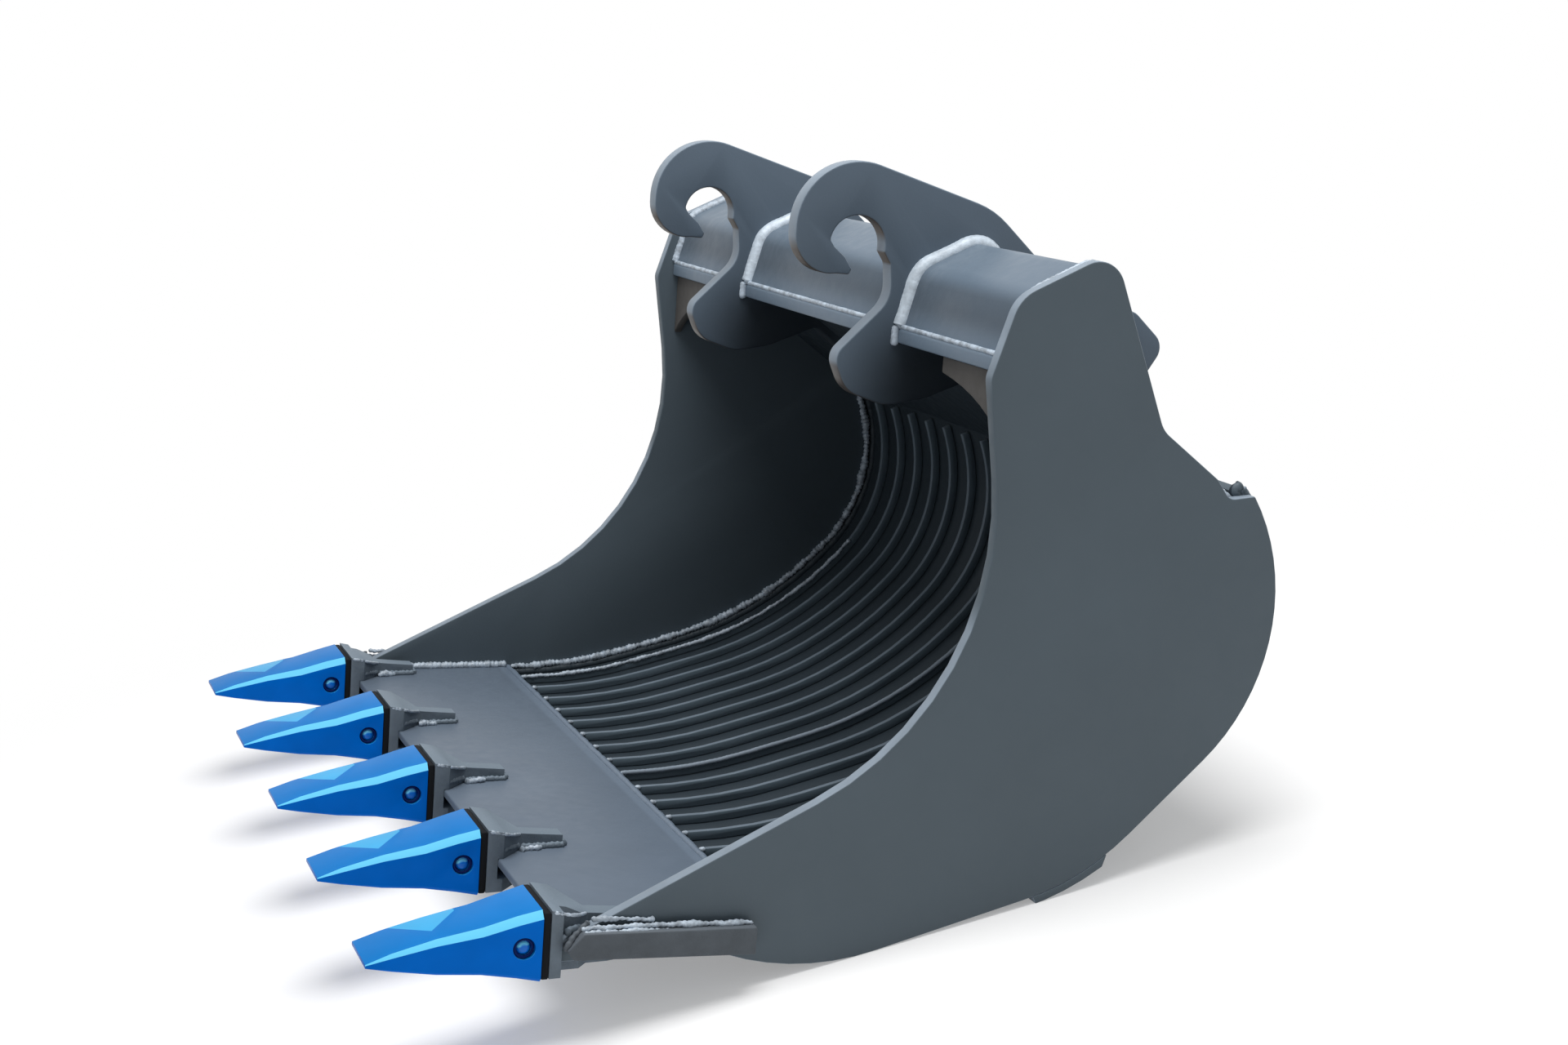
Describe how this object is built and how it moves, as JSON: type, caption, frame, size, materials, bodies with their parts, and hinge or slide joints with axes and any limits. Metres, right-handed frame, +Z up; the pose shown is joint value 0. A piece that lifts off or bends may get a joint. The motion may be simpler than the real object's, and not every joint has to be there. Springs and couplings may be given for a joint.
{
  "type": "excavator bucket",
  "caption": "Excavator digging bucket: rolled shell with inner ribs between side plates, hook hangers on a cross beam, pinned teeth on adapters along a cutting lip.",
  "frame": {"origin": "bottom centre of the bounding box, on the ground the bucket stands on", "axes": "+X forward, towards the teeth; +Y to the bucket's left, across its width; +Z up, with the bucket resting on its heel pads and on the straight base of its side plates"},
  "size_m": [1.1462, 1.1906, 0.8288],
  "materials": {
    "side_paint": "semi-gloss blue-grey paint on steel plate",
    "shell_paint": "semi-gloss blue-grey paint on rolled steel plate",
    "beam_paint": "semi-gloss blue-grey paint on steel plate",
    "lip_paint": "semi-gloss blue-grey paint on wear-resistant steel",
    "adapter_paint": "grey paint on rough cast and welded steel",
    "tooth_paint": "glossy blue paint on cast steel",
    "pin_steel": "steel pin, its ends painted over in blue",
    "retainer_steel": "dark spring steel"
  },
  "bodies": {
    "bucket": {"adapter_1": "adapter_paint", "adapter_2": "adapter_paint", "adapter_3": "adapter_paint", "adapter_4": "adapter_paint", "adapter_5": "adapter_paint", "back_plate": "shell_paint", "beam_cover_left": "beam_paint", "beam_cover_middle": "beam_paint", "beam_cover_right": "beam_paint", "beam_flange_left": "beam_paint", "beam_flange_middle": "beam_paint", "beam_flange_right": "beam_paint", "beam_floor_left": "shell_paint", "beam_floor_middle": "shell_paint", "beam_floor_right": "shell_paint", "cutting_lip": "lip_paint", "gusset_left": "side_paint", "gusset_right": "side_paint", "hanger_left": "beam_paint", "hanger_right": "beam_paint", "heel_pad_left": "side_paint", "heel_pad_right": "side_paint", "lock_plate": "beam_paint", "pin_retainer_1": "retainer_steel", "pin_retainer_2": "retainer_steel", "pin_retainer_3": "retainer_steel", "pin_retainer_4": "retainer_steel", "pin_retainer_5": "retainer_steel", "rib_1": "shell_paint", "rib_2": "shell_paint", "rib_3": "shell_paint", "rib_4": "shell_paint", "rib_5": "shell_paint", "rib_6": "shell_paint", "rib_7": "shell_paint", "rib_8": "shell_paint", "rib_9": "shell_paint", "rib_10": "shell_paint", "rib_11": "shell_paint", "rib_12": "shell_paint", "rib_13": "shell_paint", "rib_14": "shell_paint", "rib_15": "shell_paint", "rib_16": "shell_paint", "rib_17": "shell_paint", "rolled_shell": "shell_paint", "side_plate_left": "side_paint", "side_plate_right": "side_paint", "side_wear_bar_left": "adapter_paint", "side_wear_bar_right": "adapter_paint", "tooth_1": "tooth_paint", "tooth_2": "tooth_paint", "tooth_3": "tooth_paint", "tooth_4": "tooth_paint", "tooth_5": "tooth_paint"},
    "pin_1": {"tooth_pin_1": "pin_steel"},
    "pin_2": {"tooth_pin_2": "pin_steel"},
    "pin_3": {"tooth_pin_3": "pin_steel"},
    "pin_4": {"tooth_pin_4": "pin_steel"},
    "pin_5": {"tooth_pin_5": "pin_steel"}
  },
  "joints": [
    {"name": "pin_1_drive", "type": "slide", "parent": "bucket", "child": "pin_1", "axis": [0, 1, 0], "range_m": [0, 0.1]},
    {"name": "pin_2_drive", "type": "slide", "parent": "bucket", "child": "pin_2", "axis": [0, 1, 0], "range_m": [0, 0.1]},
    {"name": "pin_3_drive", "type": "slide", "parent": "bucket", "child": "pin_3", "axis": [0, 1, 0], "range_m": [0, 0.1]},
    {"name": "pin_4_drive", "type": "slide", "parent": "bucket", "child": "pin_4", "axis": [0, 1, 0], "range_m": [0, 0.1]},
    {"name": "pin_5_drive", "type": "slide", "parent": "bucket", "child": "pin_5", "axis": [0, 1, 0], "range_m": [0, 0.1]}
  ]
}
